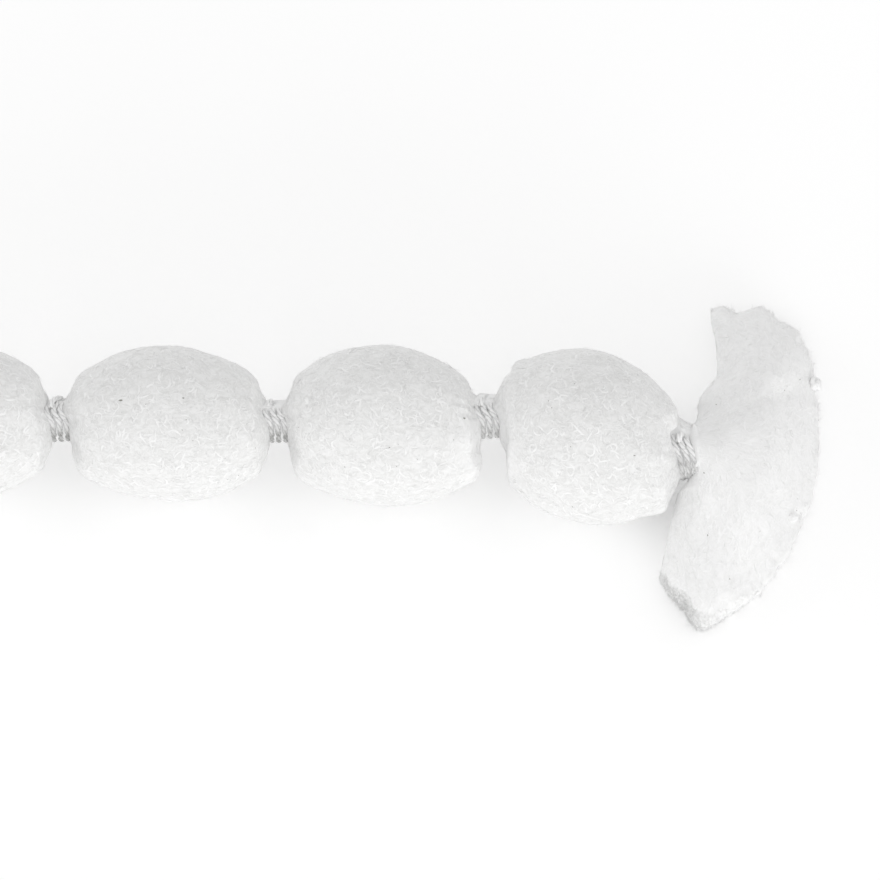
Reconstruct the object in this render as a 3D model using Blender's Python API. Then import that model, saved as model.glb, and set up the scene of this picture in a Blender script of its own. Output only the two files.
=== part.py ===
"""A length of pompom trim: one rope of soft fibre wadding, tied at intervals with twisted thread so that
it swells into egg-shaped pompoms between the ties. Past the last tie the rope is cut, and its fibre splays
out into a ragged fan.

Metres, +Z up. The trim lies along +X on the plane z = 0, with its bounding box centred over the origin.
The rope is one loft of rings: a stub, then tie, pompom, tie and so on, then the fan.
"""

import math

import bmesh
import bpy
from mathutils import Vector, noise

MM = 0.001

# Rings of the loft
SIDES = 36  # points in each ring, twice the steps between the rows of FAN_RIM
POMPOM_RINGS = 9  # without the rings of its ends

# The rope where a tie grips it
NECK_RADIUS = 2.45 * MM
NECK_REACH = (1.9 * MM, 5.5 * MM)  # from a tie's middle: the rope leaves the tie's heading over this
SHOULDER_REACH = 1.9 * MM  # from a tie's middle to where a pompom's ellipse is cut short
BODY_START = 1.5  # where the first ring of that ellipse lies, in steps from its end

# Each tie, left to right: its middle in plan, before the trim is centred, and the way the neck heads
TIES = (
    # x, y, degrees from +X towards +Y
    (-99.0 * MM, -2.9 * MM, 2.0),
    (-62.8 * MM, -2.9 * MM, 3.5),
    (-26.5 * MM, -3.2 * MM, 3.0),
    (8.8 * MM, -2.8 * MM, 3.0),
    (41.4 * MM, -9.4 * MM, -3.0),
)

# Each pompom, left to right: its largest radius, and how far its ends lie to +Y of its ties
POMPOMS = (
    # radius, first end, second end
    (13.0 * MM, 0.0, -0.2 * MM),
    (13.0 * MM, 0.0, -0.8 * MM),
    (13.4 * MM, -0.6 * MM, -2.2 * MM),
    (14.4 * MM, 0.9 * MM, -2.0 * MM),
)
SIDESTEP_RADII = (2.9 * MM, 7.0 * MM)  # a pompom takes up that offset as its rings grow over these
ELLIPSE_REACH = 1.131  # a pompom is an ellipse cut short: the whole one is this much longer
FLOOR_PRESS = 0.9 * MM  # how far a pompom's weight flattens it against the floor
LUMP = 0.030  # soft unevenness, as a share of the radius
LUMP_SIZE = 9.0 * MM
LUMP_SHIFT = Vector((7.3, 3.1, 0.0))  # in lumps, so that no two pompoms are alike
PLEATS = 9  # gathers where the fibre runs into a tie
PLEAT_DEPTH = 0.28 * MM
PLEAT_REACH = 3.2 * MM
PLEAT_SHIFT = 1.7  # radians from one pompom to the next
FREE_RADII = (4.9 * MM, 7.5 * MM)  # over these the skin comes free of the tie's pull

# A pompom's end, dimpled around the tie
SHOULDER = (
    # along from the tie's middle, radius
    (1.80 * MM, NECK_RADIUS),
    (2.22 * MM, 2.75 * MM),
    (2.30 * MM, 3.80 * MM),
    (2.36 * MM, 4.60 * MM),
    (2.44 * MM, 5.40 * MM),
    (2.75 * MM, 6.30 * MM),
)

# The plainly trimmed stub past the first tie
STUB = (
    # along from the tie's middle, radius
    (8.9 * MM, 2.2 * MM),
    (8.7 * MM, 4.1 * MM),
    (8.0 * MM, 4.9 * MM),
    (5.4 * MM, 4.7 * MM),
    (3.4 * MM, 3.9 * MM),
    (2.4 * MM, 2.9 * MM),
    (1.8 * MM, NECK_RADIUS),
)

# The fan of cut fibre past the last tie. It is laid out round a point just past the tie: an angle of 0
# runs straight on along the rope, and the rim lies at the table's radius.
FAN_START = 2.2 * MM
FAN_HEADING = math.radians(-10.0)
FAN_RIM = (
    # angle in degrees, radius: one row for each point of the rim
    (-96.0, 19.2 * MM),
    (-90.0, 22.0 * MM),
    (-84.0, 24.0 * MM),
    (-78.0, 26.8 * MM),
    (-68.0, 24.4 * MM),
    (-57.0, 22.2 * MM),
    (-45.0, 20.7 * MM),
    (-31.0, 20.1 * MM),
    (-17.0, 18.8 * MM),
    (-3.0, 19.0 * MM),
    (11.0, 19.2 * MM),
    (25.0, 20.8 * MM),
    (38.0, 22.8 * MM),
    (46.0, 25.6 * MM),
    (54.0, 26.2 * MM),
    (65.0, 30.8 * MM),
    (78.0, 34.6 * MM),
    (87.0, 32.4 * MM),
    (96.0, 33.4 * MM),
)
EVEN_ANGLES_SHARE = 0.5  # nearer the neck than this share, the skin's points are spread evenly
FAN_BACK = (
    # how far to +Y of the rope, how far the fan's back edge is moved on along the rope
    (-28.0 * MM, -0.8 * MM),
    (-18.0 * MM, -1.3 * MM),
    (-10.0 * MM, -1.8 * MM),
    (-6.5 * MM, -1.5 * MM),
    (-5.0 * MM, 0.0),
    (5.0 * MM, 0.0),
    (6.5 * MM, -1.5 * MM),
    (10.5 * MM, -1.6 * MM),
    (14.0 * MM, 0.3 * MM),
    (19.0 * MM, 2.8 * MM),
    (25.0 * MM, 2.1 * MM),
    (31.0 * MM, 0.9 * MM),
)
LAST_NECK_HEIGHT = POMPOMS[-1][0] - FLOOR_PRESS
LAST_NECK_TOP = LAST_NECK_HEIGHT + NECK_RADIUS
FAN_HEIGHTS = (
    # share of the way to the rim, top on the -Y side, top on the +Y side, underside
    (0.00, LAST_NECK_TOP, LAST_NECK_TOP, LAST_NECK_HEIGHT - NECK_RADIUS),
    (0.06, 16.40 * MM, 16.20 * MM, 9.60 * MM),
    (0.13, 16.50 * MM, 15.60 * MM, 6.20 * MM),
    (0.22, 16.00 * MM, 14.50 * MM, 2.60 * MM),
    (0.33, 14.90 * MM, 13.20 * MM, 0.60 * MM),
    (0.46, 13.40 * MM, 12.00 * MM, 0.00 * MM),
    (0.60, 11.80 * MM, 11.10 * MM, 0.00 * MM),
    (0.74, 10.20 * MM, 10.30 * MM, 0.00 * MM),
    (0.87, 8.60 * MM, 9.20 * MM, 0.00 * MM),
    (0.96, 7.00 * MM, 7.30 * MM, 0.00 * MM),
    (1.00, 5.60 * MM, 5.40 * MM, 0.00 * MM),
)
FAN_SIDES_BLEND = (-30.0, 50.0)  # degrees over which the top changes from the one side's to the other's
FAN_WING_DROP = 0.10  # the wings' tops are lower than the middle by this share
FAN_EDGE_ROUNDING = 0.45  # 1 is a round back edge, as at the neck, and less is a fuller one
FAN_UNDERSIDE_FLATTENING = 0.6  # how much fuller the underside is, so that it lies flat on the floor
FAN_LUMP = 0.06
FAN_RIM_BULGE = 0.5 * MM
FAN_RIM_BULGE_HEIGHT = 0.45  # as a share of the rim's height

# The ties
THREAD_RADIUS = 0.45 * MM
THREAD_GAP = 0.3 * MM  # between the thread and the neck
WRAP_PITCH = 1.06 * MM
WRAP_TURNS = 2.7
WRAP_START = math.radians(200.0)  # 0 is the -Y side, 90 degrees the top
STEPS_A_TURN = 16
CLIMB_END = 2.95  # turns at which the thread has climbed onto the wraps
CROSSING_END = 3.27  # turns at which it ends, having crossed back over them
CROSSING_RADIUS_GAIN = 1.06 * MM
CROSSING_LAST_ALONG = -1.25 * MM
TIE_TURNS = (4.0, 0.0, 7.0, -5.0, -16.0)  # degrees by which each tie is turned round the rope

WADDING = ("wadding", (0.88, 0.88, 0.87, 1.0), 0.95)
THREAD = ("thread", (0.84, 0.84, 0.83, 1.0), 0.5)


def remove_everything():
    for item in list(bpy.data.objects):
        bpy.data.objects.remove(item, do_unlink=True)


def make_material(name, colour, roughness):
    material = bpy.data.materials.new(name)
    material.use_nodes = True
    shader = material.node_tree.nodes["Principled BSDF"]
    shader.inputs["Base Color"].default_value = colour
    shader.inputs["Roughness"].default_value = roughness
    shader.inputs["Metallic"].default_value = 0.0
    return material


def smoothstep(low, high, value):
    t = min(max((value - low) / (high - low), 0.0), 1.0)
    return t * t * (3.0 - 2.0 * t)


def read_table(rows, value, column):
    """The value of a column of a table whose first column rises, between its rows."""
    if value <= rows[0][0]:
        return rows[0][column]
    for before, after in zip(rows, rows[1:]):
        if value <= after[0]:
            share = (value - before[0]) / (after[0] - before[0])
            return before[column] + (after[column] - before[column]) * share
    return rows[-1][column]


def tie_points():
    """The middle of each tie, level with the pompoms beside it."""
    heights = [radius - FLOOR_PRESS for radius, _, _ in POMPOMS]
    on_left = heights[:1] + heights
    on_right = heights + heights[-1:]
    return [
        Vector((x, y, (left + right) / 2))
        for (x, y, _), left, right in zip(TIES, on_left, on_right)
    ]


def level_direction(angle):
    return Vector((math.cos(angle), math.sin(angle), 0.0))


def rope_frame(index, along, ties):
    """The centre and direction of the rope at a distance past tie number index.

    It follows the tie's own heading near the tie, and the line to the next tie beyond that.
    """
    heading = level_direction(math.radians(TIES[index][2]))
    neighbour = index + (1 if along > 0 else -1)
    if 0 <= neighbour < len(ties):
        onward = (ties[neighbour] - ties[index]).normalized() * (neighbour - index)
    else:
        onward = heading
    bent = smoothstep(*NECK_REACH, abs(along))
    direction = heading.lerp(onward, bent).normalized()
    return ties[index] + heading.lerp(onward, bent) * along, direction


def ring_axes(direction):
    """The sideways axis, towards +Y, and the upward axis of a ring square to this direction."""
    sideways = Vector((0.0, 0.0, 1.0)).cross(direction).normalized()
    return sideways, direction.cross(sideways)


def lay_on_floor(point):
    return Vector((point.x, point.y, max(point.z, 0.0)))


def round_ring(centre, direction, radius, end_distance, number):
    """A ring of pompom number 1, 2 and so on, pleated near a tie and softly uneven away from it."""
    sideways, upward = ring_axes(direction)
    free = smoothstep(*FREE_RADII, radius)
    gathered = math.exp(-end_distance / PLEAT_REACH) * free
    ring = []
    for side in range(SIDES):
        turn = 2 * math.pi * side / SIDES
        out = sideways * math.cos(turn) + upward * math.sin(turn)
        at = (centre + out * radius) / LUMP_SIZE + LUMP_SHIFT * number
        swell = 1.0 + LUMP * noise.noise(at) * free
        pleat = PLEAT_DEPTH * math.cos(PLEATS * turn + PLEAT_SHIFT * number) * gathered
        ring.append(lay_on_floor(centre + out * (radius * swell + pleat)))
    return ring


def stub_rings(ties):
    rings = []
    for along, radius in STUB:
        centre, direction = rope_frame(0, -along, ties)
        rings.append(round_ring(centre, direction, radius, along, 0))
    return rings


def pompom_profile(length, radius):
    """(distance past the first tie, radius) along one pompom, from its first neck to its second."""
    half = length / 2 - SHOULDER_REACH
    body = []
    for step in range(POMPOM_RINGS):
        share = -math.cos(math.pi * (step + BODY_START) / (POMPOM_RINGS + 2 * BODY_START - 1))
        size = radius * math.sqrt(1.0 - (share / ELLIPSE_REACH) ** 2)
        body.append((length / 2 + half * share, size))
    falling = [(length - along, size) for along, size in reversed(SHOULDER)]
    return [(0.0, NECK_RADIUS), *SHOULDER, *body, *falling]


def pompom_rings(index, ties):
    """The rings from one tie to the next, with the pompom that they hold."""
    radius, first_aside, second_aside = POMPOMS[index]
    length = (ties[index + 1] - ties[index]).length
    height = radius - FLOOR_PRESS
    rings = []
    for along, size in pompom_profile(length, radius):
        if along < length / 2:
            centre, direction = rope_frame(index, along, ties)
        else:
            centre, direction = rope_frame(index + 1, along - length, ties)
        sideways, _ = ring_axes(direction)
        tie_distance = min(along, length - along)
        share = along / length
        aside = first_aside * (1.0 - share) ** 2 + second_aside * share**2
        centre += sideways * aside * smoothstep(*SIDESTEP_RADII, size)
        centre.z += (height - centre.z) * math.sin(math.pi * share) ** 2
        end_distance = tie_distance - SHOULDER_REACH
        rings.append(round_ring(centre, direction, size, max(end_distance, 0.0), index + 1))
    return rings


def fan_point(share, side, origin, onward, sideways):
    """A point of the fan's skin: share runs from the neck to the rim, and side round the ring."""
    turn = 2 * math.pi * side / SIDES
    rim_angle, rim_radius = FAN_RIM[::-1][min(side, SIDES - side)]
    even_angle = 90.0 * (1.0 - 4.0 * min(side, SIDES - side) / SIDES)
    spread = smoothstep(0.0, EVEN_ANGLES_SHARE, share)
    angle = math.radians(even_angle + (rim_angle - even_angle) * spread)
    along = share * rim_radius * math.cos(angle)
    across = share * rim_radius * math.sin(angle) + (1.0 - share) * NECK_RADIUS * math.cos(turn)
    along += read_table(FAN_BACK, across, 1) * math.cos(turn) ** 4

    wing = (angle / math.radians(FAN_RIM[-1][0])) ** 2 * smoothstep(0.1, 0.5, share)
    near, far, bottom = (read_table(FAN_HEIGHTS, share, column) for column in (1, 2, 3))
    top = near + (far - near) * smoothstep(*FAN_SIDES_BLEND, math.degrees(angle))
    top *= 1.0 - FAN_WING_DROP * wing
    power = 1.0 + (FAN_EDGE_ROUNDING - 1.0) * smoothstep(0.0, 0.3, share)
    lift = abs(math.sin(turn)) ** power
    if side > SIDES // 2:
        lift = -min(lift * (1.0 + FAN_UNDERSIDE_FLATTENING * smoothstep(0.0, 0.3, share)), 1.0)
    point = origin + onward * along + sideways * across
    point.z = (top + bottom) / 2 + (top - bottom) / 2 * lift
    if 0 < side < SIDES // 2:
        waves = noise.noise(point / LUMP_SIZE)
        point.z *= 1.0 + FAN_LUMP * waves * smoothstep(0.2, 0.6, share)
    return lay_on_floor(point)


def fan_rings(ties):
    """The rings of the fan, which open from a circle at the neck into a wide, thin loop at the rim."""
    origin = rope_frame(len(ties) - 1, FAN_START, ties)[0]
    onward = level_direction(FAN_HEADING)
    sideways, _ = ring_axes(onward)
    rings = []
    for share, *_ in FAN_HEIGHTS:
        rings.append([fan_point(share, side, origin, onward, sideways) for side in range(SIDES)])
    return rings


def bridge_rings(mesh, rings):
    """Faces between each ring and the next. Returns the rings as vertices."""
    loops = [[mesh.verts.new(point) for point in ring] for ring in rings]
    for first, second in zip(loops, loops[1:]):
        for side in range(SIDES):
            after = (side + 1) % SIDES
            mesh.faces.new((first[side], first[after], second[after], second[side]))
    return loops


def close_round_end(mesh, loop):
    middle = sum((corner.co for corner in loop), Vector()) / SIDES
    tip = mesh.verts.new(middle)
    for side in range(SIDES):
        mesh.faces.new((tip, loop[(side + 1) % SIDES], loop[side]))


def close_rim(mesh, loop, centre):
    """The fan's cut edge: a wall between the upper half of the last ring and its lower half."""
    half = SIDES // 2
    ridge = [loop[0]]
    for side in range(1, half):
        upper, lower = loop[side].co, loop[SIDES - side].co
        point = lower.lerp(upper, FAN_RIM_BULGE_HEIGHT)
        out = point - centre
        out.z = 0.0
        ridge.append(mesh.verts.new(point + out.normalized() * FAN_RIM_BULGE))
    ridge.append(loop[half])
    for side in range(half):
        upper = (loop[side], loop[side + 1])
        lower = (loop[-side], loop[SIDES - side - 1])
        for pair, flip in ((upper, False), (lower, True)):
            corners = []
            for corner in (pair[0], pair[1], ridge[side + 1], ridge[side]):
                if corner not in corners:
                    corners.append(corner)
            mesh.faces.new(reversed(corners) if flip else corners)


def make_rope(ties, material):
    mesh = bmesh.new()
    rings = stub_rings(ties)
    for index in range(len(POMPOMS)):
        rings += pompom_rings(index, ties)
    last_neck, direction = rope_frame(len(ties) - 1, 0.0, ties)
    rings.append(round_ring(last_neck, direction, NECK_RADIUS, 0.0, 0))
    rings += fan_rings(ties)
    loops = bridge_rings(mesh, rings)
    close_round_end(mesh, loops[0])
    close_rim(mesh, loops[-1], last_neck)
    bmesh.ops.recalc_face_normals(mesh, faces=mesh.faces)
    data = bpy.data.meshes.new("fibre_rope")
    mesh.to_mesh(data)
    mesh.free()
    data.shade_smooth()
    data.set_sharp_from_angle(angle=math.radians(50.0))
    data.materials.append(material)
    rope = bpy.data.objects.new("fibre_rope", data)
    bpy.context.collection.objects.link(rope)
    return rope


def thread_place(turns):
    """(along the rope, radius) of the thread's middle line after this many turns round the neck."""
    wrap_radius = NECK_RADIUS + THREAD_GAP + THREAD_RADIUS
    last_wrap = WRAP_TURNS / 2 * WRAP_PITCH
    if turns <= WRAP_TURNS:
        return turns * WRAP_PITCH - last_wrap, wrap_radius
    climbed = smoothstep(WRAP_TURNS, CLIMB_END, turns)
    crossed = smoothstep(CLIMB_END, CROSSING_END, turns)
    along = last_wrap + (CROSSING_LAST_ALONG - last_wrap) * crossed
    return along, wrap_radius + CROSSING_RADIUS_GAIN * climbed


def make_tie(name, centre, direction, turned, material):
    """Three wraps of thread, whose end climbs onto them and crosses back over them."""
    sideways, upward = ring_axes(direction)
    data = bpy.data.curves.new(name, "CURVE")
    data.dimensions = "3D"
    data.bevel_depth = THREAD_RADIUS
    data.bevel_resolution = 1
    data.use_fill_caps = True
    steps = round(CROSSING_END * STEPS_A_TURN)
    spline = data.splines.new("POLY")
    spline.points.add(steps)
    for step in range(steps + 1):
        turns = CROSSING_END * step / steps
        along, radius = thread_place(turns)
        angle = WRAP_START + turned - 2 * math.pi * turns
        out = upward * math.sin(angle) - sideways * math.cos(angle)
        point = centre + direction * along + out * radius
        spline.points[step].co = (*point, 1.0)
    data.materials.append(material)
    tie = bpy.data.objects.new(name, data)
    bpy.context.collection.objects.link(tie)
    return tie


def centre_over_origin(rope, others):
    corners = [vertex.co for vertex in rope.data.vertices]
    middle = [(min(c[k] for c in corners) + max(c[k] for c in corners)) / 2 for k in range(2)]
    for item in [rope] + others:
        item.location = (-middle[0], -middle[1], 0.0)


def main():
    remove_everything()
    wadding = make_material(*WADDING)
    thread = make_material(*THREAD)
    ties = tie_points()
    rope = make_rope(ties, wadding)
    threads = []
    for index, turned in enumerate(TIE_TURNS):
        centre, direction = rope_frame(index, 0.0, ties)
        name = f"thread_tie_{index + 1}"
        threads.append(make_tie(name, centre, direction, math.radians(turned), thread))
    centre_over_origin(rope, threads)


main()
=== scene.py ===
"""The looks of the pompom trim: its fibre skin, loose fibres and twisted ties, over the fixed CAD frame.

Lengths are in millimetres, apart from those of the floor and the lights, which are in metres. Shapes are
laid out in the CAD's own coordinates, before the trim is centred, and make_piece() moves them to the row
frame. In both, +X runs along the trim and +Z is up. The rope repeats the CAD's rings on a finer grid.
"""

import math

import bpy
import numpy as np
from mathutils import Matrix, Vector, noise


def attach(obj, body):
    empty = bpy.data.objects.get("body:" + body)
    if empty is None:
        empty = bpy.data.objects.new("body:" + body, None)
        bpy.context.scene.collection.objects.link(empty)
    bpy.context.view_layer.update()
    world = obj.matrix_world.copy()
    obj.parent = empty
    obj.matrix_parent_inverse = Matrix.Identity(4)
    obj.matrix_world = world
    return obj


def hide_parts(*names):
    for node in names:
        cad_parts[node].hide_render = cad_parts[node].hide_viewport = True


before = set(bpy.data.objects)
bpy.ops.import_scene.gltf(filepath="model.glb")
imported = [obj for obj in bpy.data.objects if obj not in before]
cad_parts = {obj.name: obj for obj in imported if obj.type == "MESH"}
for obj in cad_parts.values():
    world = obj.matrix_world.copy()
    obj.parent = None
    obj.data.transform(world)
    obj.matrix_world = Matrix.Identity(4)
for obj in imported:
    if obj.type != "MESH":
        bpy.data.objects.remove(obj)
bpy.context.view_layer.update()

SEED = 11
MM = 0.001
UP = np.array((0.0, 0.0, 1.0))
CAD_SHIFT = np.array((21.4101, 6.5312, 0.0))  # from the CAD's own coordinates to the row frame

# Grids
ROPE_SIDES = 180
RING_SPACING = 0.46
FAN_COLUMNS = 300
FAN_TOP_ROWS = 84
FAN_WALL_ROWS = 12
FAN_UNDER_ROWS = 40
TUFT_ROWS = 16
TUFT_COLUMNS = 28

# The rope: the CAD's shape, with its fibre swollen out to the thread that grips it
CAD_NECK_RADIUS = 2.45
NECK_RADIUS = 3.0
NECK_REACH = (1.9, 5.5)
SHOULDER_REACH = 1.9
TIES = (
    # x, y, degrees from +X towards +Y
    (-99.0, -2.9, 2.0),
    (-62.8, -2.9, 3.5),
    (-26.5, -3.2, 3.0),
    (8.8, -2.8, 3.0),
    (41.4, -9.4, -3.0),
)
POMPOMS = (
    # radius, how far its first end and its second lie to +Y of its ties
    (13.0, 0.0, -0.2),
    (13.0, 0.0, -0.8),
    (13.4, -0.6, -2.2),
    (14.4, 0.9, -2.0),
)
POMPOM_RINGS = 11
SIDESTEP_RADII = (2.9, 7.0)
ELLIPSE_REACH = 1.131
FLOOR_PRESS = 0.9
LUMP = 0.030
LUMP_SIZE = 9.0
LUMP_SHIFT = np.array((7.3, 3.1, 0.0))
PLEATS = 9
PLEAT_DEPTH = 0.28
PLEAT_REACH = 3.2
PLEAT_SHIFT = 1.7
FREE_RADII = (4.9, 7.5)
SHOULDER = (
    # along from the tie's middle, radius
    (1.50, NECK_RADIUS), (1.58, 3.50), (1.74, 4.10), (1.98, 4.70), (2.34, 5.40), (2.75, 6.30),
)
HUG_REACH = (1.8, 5.0)  # from a tie's middle: the fibre follows the wraps' slant up to here
GATHER_RADII = (2.9, 4.1)  # fibre drawn in to the first counts as gathered, and past the second as free
SWELL_OVER = (
    # for each tie: how far the fibre swells out over its far side, how much less for each mm along
    # the rope, and over how many degrees round the rope this comes and goes
    (0.5, 0.0, (118.0, 135.0, 200.0, 245.0)),
    (0.5, 0.0, (118.0, 135.0, 200.0, 245.0)),
    (0.85, 0.0, (97.0, 114.0, 200.0, 245.0)),
    (1.2, 0.1, (99.0, 118.0, 200.0, 245.0)),
    (2.7, 0.6, (102.0, 145.0, 170.0, 240.0)),
)
SWELL_REACH = 9.0  # the swell over the far side stops growing this far from the tie
SWELL_BLEND = 0.2
SWELL_STAYS_DEEP = 1.4  # how far gathered fibre may swell out before it starts to count as free
SWELL_BETWEEN = 0.30  # how far the fibre swells out between the wraps on the tie's near side
NEAR_SIDE = (-120.0, -60.0, 15.0, 55.0)
FAR_SIDE = (100.0, 130.0, 190.0, 240.0)
NEAR_FLANK = (-110.0, -70.0, -5.0, 30.0)
FLANK_SIZES = (4.4, 6.0, 9.0, 12.0)
FULLER_ENDS = (
    # tie, which side of it, how much nearer to it the pompom's end comes, and the degrees round the
    # rope and the ring sizes over which it does so
    (1, 1, 0.8, NEAR_FLANK, FLANK_SIZES),
    (2, 1, 0.7, NEAR_FLANK, FLANK_SIZES),
    (3, -1, 1.0, NEAR_FLANK, FLANK_SIZES),
    (3, 1, -0.9, FAR_SIDE, (5.5, 7.5, 8.5, 11.0)),
    (4, -1, 2.0, FAR_SIDE, (4.6, 6.4, 8.0, 11.5)),
    (4, -1, 0.5, (35.0, 65.0, 100.0, 130.0), (4.0, 5.0, 7.0, 9.0)),
)
# Painted light on the fibre beside these ties, which lies in shade there:
PAINTED_LIGHT_ENDS = (
    # tie, which side of it, how much painted light makes the fibre paler there, and about how far along
    # the rope
    (3, -1, 0.55, 4.5),
    (3, 1, 0.65, 3.5),
)
PAINTED_LIGHT_SIDE = (-70.0, -20.0, 50.0, 100.0)  # degrees round the rope
STUB = (
    # along from the tie's middle, radius
    (8.9, 0.0), (8.9, 2.2), (8.7, 4.1), (8.0, 4.9), (5.4, 4.7), (3.4, 3.9), (2.4, 3.0),
    (1.8, NECK_RADIUS),
)
CREASES = (
    # tie, which side of it, degrees round the rope, how many more it turns, how far it runs, depth
    (3, -1, 66.0, 6.0, 8.0, 0.28),
    (3, -1, 76.0, 10.0, 9.5, 0.22),
    (3, -1, 92.0, 8.0, 7.0, 0.16),
    (3, 1, 84.0, -6.0, 6.0, 0.10),
    (2, -1, 88.0, 5.0, 6.0, 0.12),
    (2, 1, 74.0, -5.0, 5.5, 0.10),
    (1, -1, 70.0, 6.0, 6.5, 0.12),
    (4, -1, 60.0, 5.0, 7.0, 0.12),
)
CREASE_WIDTH = 0.45
CREASE_STARTS = (0.8, 3.0)  # from the tie's middle
CREASE_LIP = (1.6, 0.6)  # how far aside its raised lip lies, in widths, and the lip's share of its depth
ROPE_BUMPS = (
    # height, size, how far they are drawn out along the rope
    (0.07, 3.4, 0.6),
    (0.045, 1.1, 0.35),
)

# The fan, laid out round a point just past the last tie: an angle of 0 is FAN_HEADING
FAN_START = 2.2
FAN_START_PULL = 0.6  # how much nearer the tie the fibre starts to spread
FAN_HEADING = math.radians(-10.0)
FAN_RIM = (
    # angle in degrees, radius
    (-96.0, 18.3), (-90.0, 20.5), (-84.0, 22.8), (-78.0, 26.3), (-68.0, 24.3), (-57.0, 22.5),
    (-45.0, 20.8), (-31.0, 19.5), (-17.0, 18.5), (-3.0, 18.8), (11.0, 19.5), (25.0, 21.1),
    (38.0, 23.3), (46.0, 25.2), (54.0, 26.9), (65.0, 32.2), (78.0, 35.3), (87.0, 34.0),
    (96.0, 33.5),
)
RIM_NICKS = (
    # angle in degrees, half-width in degrees, how far the rim stands out there
    (93.0, 1.5, 0.5),
    (88.2, 1.8, -0.8),
    (82.5, 2.4, 0.8),
    (76.2, 1.5, -0.6),
    (70.0, 2.4, 0.7),
    (-9.0, 2.2, -0.4),
    (-38.0, 2.5, -0.5),
    (-52.0, 1.6, 0.3),
    (-84.0, 1.6, -0.4),
)
FAN_BACK = (
    # how far to +Y of the rope, how far the fan's back edge is moved on along the rope
    (-28.0, -0.8), (-18.0, -1.3), (-10.0, -2.0), (-6.5, -2.3), (-5.0, -1.2), (-3.0, 0.0),
    (3.0, 0.0), (5.0, -0.5), (8.0, -1.0), (11.5, -1.2), (14.0, -0.55), (19.0, 2.4), (25.0, 2.1),
    (31.0, 0.9),
)
LAST_NECK_HEIGHT = POMPOMS[-1][0] - FLOOR_PRESS
FAN_HEIGHTS = (
    # share of the way to the rim, top on the -Y side, top on the +Y side, underside
    (0.00, LAST_NECK_HEIGHT + NECK_RADIUS, LAST_NECK_HEIGHT + NECK_RADIUS, LAST_NECK_HEIGHT - NECK_RADIUS),
    (0.02, LAST_NECK_HEIGHT + 3.9, LAST_NECK_HEIGHT + 3.9, LAST_NECK_HEIGHT - 3.7),
    (0.06, 17.3, 17.1, 8.9),
    (0.13, 16.9, 16.7, 6.0),
    (0.22, 16.1, 16.2, 2.6),
    (0.33, 14.9, 15.3, 0.6),
    (0.46, 13.4, 14.0, 0.0),
    (0.60, 11.8, 12.5, 0.0),
    (0.74, 10.2, 10.9, 0.0),
    (0.87, 8.6, 9.3, 0.0),
    (0.96, 7.0, 7.3, 0.0),
    (1.00, 5.6, 5.4, 0.0),
)
FAN_CUT_BARE = (
    # degrees, how plainly the rim shows its cut ends there
    (-96.0, 1.0), (-81.0, 1.0), (-75.0, 0.45), (-66.0, 0.15), (60.0, 0.12), (84.0, 0.3),
)
FAN_RIM_THINNING = 0.6  # the rim is thinner by this share, except beside its two corners
FAN_RIM_THIN_ANGLES = (-72.0, -52.0, 72.0, 92.0)
FAN_SIDES_BLEND = (-30.0, 50.0)  # degrees over which the top goes from the one side's to the other's
FAN_WING_DROP = 0.10
FAN_EDGE_ROUNDING = 0.45
FAN_UNDERSIDE_FLATTENING = 0.6
FAN_LUMP = 0.02
FAN_RIM_BULGE = 0.5
FAN_ROOT = (2.0, 7.0)  # from its start: the rough surface comes in over this
FAN_EVEN_COLUMNS = 8.0  # and over this many of the grid's columns from its back edges
FAN_MAP_RADIUS = 16.0  # the fibre's map is as wide as the rim's angles at this radius
FAN_MAP_WALL = np.array((5.0, 0.0, -6.0))  # how far the cut edge runs on that map

# Shares of the way from the fan's neck to its rim, over which
FOLLOWS_WRAPS = (0.0, 0.2)  # it leaves the slant of the wraps
SWELLS_AT_TIE = (0.0, 0.06)  # it comes down from the swell beside them
PULLED_TO_TIE = (0.0, 0.25)  # it comes free of FAN_START_PULL
TURNS_TO_RIM = (0.0, 0.5)  # the fibre takes up the angles of FAN_RIM
WINGS_DROP = (0.1, 0.5)
EDGE_FILLS_OUT = (0.0, 0.3)
LUMPS_GROW = (0.2, 0.6)
RIM_THINS = (0.5, 1.05)
NICKS_GROW = (0.84, 1.0)
COMES_FREE = (0.0, 0.04)  # its fibre stops counting as gathered
CUT_ON_TOP = (0.94, 1.0)  # its top starts counting as cut
CUT_UNDERNEATH = (0.9, 1.0)
# The foot gets a painted shadow where the cut edge meets the floor.
FOOT_UNDERNEATH = (0.97, 1.0)  # its underside starts counting as the cut edge's foot

# Fibres and small bits
# Painted light: gathered fibre, which lies in shade between the wraps and the pompoms, is painted paler,
# up to 1 on this scale.
SKIN_TONE = 0.1  # how white the free skin is, on the scale on which gathered fibre is 1
FIBRE_TONES = (0.0, 0.9)
SUNK = 0.015  # how deep the edges of a clump of fibre lie in the skin
CLUMP_WIDTHS = (0.18, 0.50)
FUZZ_RADII = (0.022, 0.04)
CUT_END_RADII = (0.03, 0.06)
SPECK_WIDTHS = (0.10, 0.24)
PLAIN_SPECKS = (
    # place, length
    ((-52.5, -5.2, 23.8), 0.85),
    ((-41.9, -5.3, 24.7), 0.55),
    ((4.4, -6.9, 21.3), 0.75),
    ((32.4, -15.4, 23.6), 0.50),
)
TUFTS = (
    # middle, half its size each way, loose hairs on it
    ((64.2, 9.7, 2.2), (1.0, 1.3, 1.1), 60),
    ((59.55, -16.8, 4.1), (0.85, 0.6, 0.4), 0),
)
HAIR_SIDES = 3

# Each piece's maps: a grid of cells in OFBake, one for each strip, and the attribute place
CELL_BORDER = 0.06
FIBRE_MAP_SPREAD = 40.0  # each fibre's place on the noise is moved by up to this
WELD_DECIMALS = 4  # points that agree to this many decimals are joined

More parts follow.
